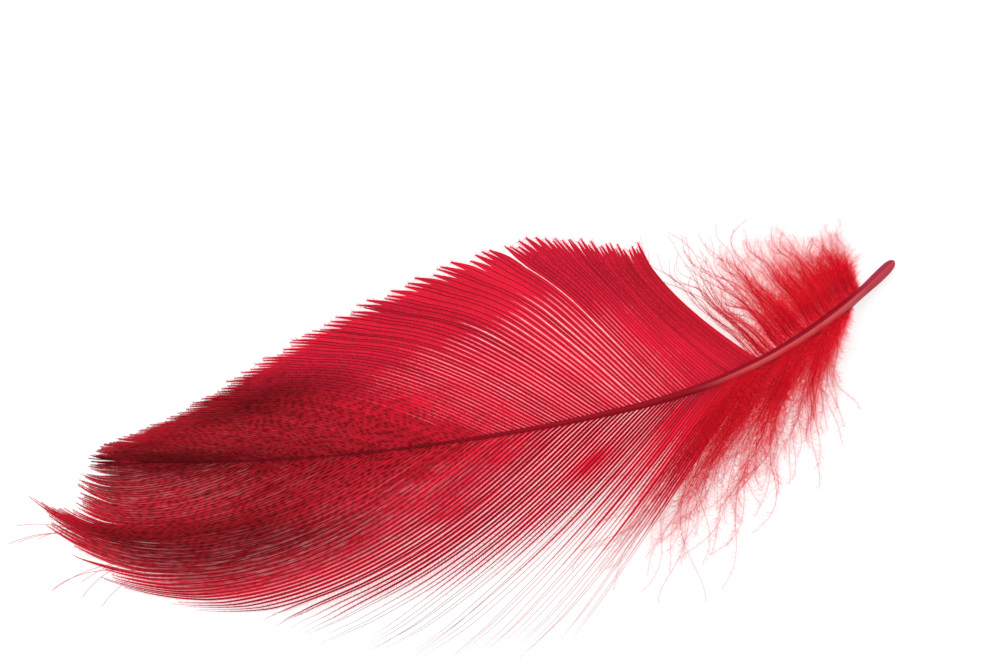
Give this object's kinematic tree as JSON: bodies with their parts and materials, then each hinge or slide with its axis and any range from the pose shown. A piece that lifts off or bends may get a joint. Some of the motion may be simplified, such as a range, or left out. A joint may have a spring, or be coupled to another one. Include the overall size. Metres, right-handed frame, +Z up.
{
  "type": "mallard flank feather",
  "caption": "Red-dyed mallard flank feather lying convex side up, with a curved tapering shaft, two barred vanes split into locks and a fluffy down base.",
  "frame": {"origin": "on the surface the feather lies on, under the middle of its bounding box", "axes": "+X from the tip towards the bare end of the quill, +Z up, +Y towards the far vane"},
  "size_m": [0.0846, 0.0468, 0.0054],
  "materials": {
    "shaft": "smooth dyed keratin with a soft sheen",
    "vane": "fine dyed barbs with darker wavy barring",
    "down": "loose fluffy dyed barbs"
  },
  "bodies": {
    "root": {"shaft": "shaft", "near_vane": "vane", "far_vane": "vane", "near_down": "down", "far_down": "down"}
  },
  "joints": []
}
